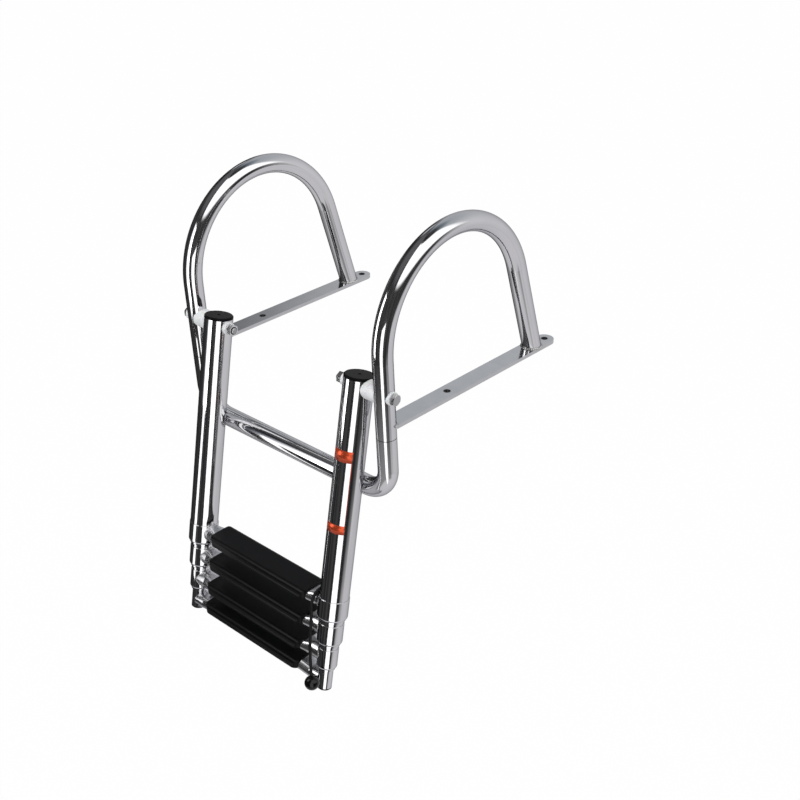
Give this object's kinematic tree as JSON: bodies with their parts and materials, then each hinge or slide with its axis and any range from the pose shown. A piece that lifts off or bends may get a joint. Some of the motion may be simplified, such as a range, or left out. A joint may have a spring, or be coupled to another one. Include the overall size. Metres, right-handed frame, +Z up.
{
  "type": "telescopic boat ladder",
  "caption": "Over-platform telescoping boat ladder: handrail hoops on flat deck bars carry a hinged ladder whose lower steps slide out in sections.",
  "frame": {"origin": "on the underside of the left deck bar, midway between its two bolt holes", "axes": "+X across the ladder to the right deck bar, +Y inboard over the deck, +Z up"},
  "size_m": [0.38, 0.4383, 0.5987],
  "materials": {
    "polished_steel": "mirror polished stainless tube",
    "brushed_bar": "polished flat strap",
    "bolt_steel": "stainless fastener",
    "black_plastic": "moulded black plastic",
    "white_nylon": "moulded white nylon",
    "black_rubber": "black elastic cord and ball"
  },
  "bodies": {
    "frame": {"left_handrail": "polished_steel", "right_handrail": "polished_steel", "crossbar": "polished_steel", "seam_spigots": "polished_steel", "left_mount_bar": "brushed_bar", "right_mount_bar": "brushed_bar", "left_hinge_bolt": "bolt_steel", "right_hinge_bolt": "bolt_steel", "hinge_nuts": "bolt_steel", "head_saddles": "white_nylon", "rail_saddles": "white_nylon"},
    "ladder": {"left_main_tube": "polished_steel", "right_main_tube": "polished_steel", "left_collar_1": "polished_steel", "right_collar_1": "polished_steel", "guide_bushes_1": "white_nylon", "step_tube_1": "polished_steel", "tread_1": "black_plastic", "tube_caps": "black_plastic", "outer_leg_saddles": "white_nylon", "inner_leg_saddles": "white_nylon", "retaining_cord": "black_rubber", "cord_ball": "black_rubber"},
    "second_section": {"left_tube_2": "polished_steel", "right_tube_2": "polished_steel", "left_collar_2": "polished_steel", "right_collar_2": "polished_steel", "guide_bushes_2": "white_nylon", "guide_rings_2": "white_nylon", "step_tube_2": "polished_steel", "tread_2": "black_plastic"},
    "third_section": {"left_tube_3": "polished_steel", "right_tube_3": "polished_steel", "left_collar_3": "polished_steel", "right_collar_3": "polished_steel", "guide_bushes_3": "white_nylon", "guide_rings_3": "white_nylon", "step_tube_3": "polished_steel", "tread_3": "black_plastic"},
    "fourth_section": {"left_tube_4": "polished_steel", "right_tube_4": "polished_steel", "guide_rings_4": "white_nylon", "end_plugs": "black_plastic", "step_tube_4": "polished_steel", "tread_4": "black_plastic"}
  },
  "joints": [
    {"name": "ladder_hinge", "type": "hinge", "parent": "frame", "child": "ladder", "pos_m": [0.17, -0.21, 0.0436], "axis": [-1, 0, 0], "range_deg": [0, 255]},
    {"name": "second_slide", "type": "slide", "parent": "ladder", "child": "second_section", "axis": [0, -0.1948, -0.9808], "range_m": [0, 0.235]},
    {"name": "third_slide", "type": "slide", "parent": "second_section", "child": "third_section", "axis": [0, -0.1948, -0.9808], "range_m": [0, 0.235]},
    {"name": "fourth_slide", "type": "slide", "parent": "third_section", "child": "fourth_section", "axis": [0, -0.1948, -0.9808], "range_m": [0, 0.235]}
  ]
}
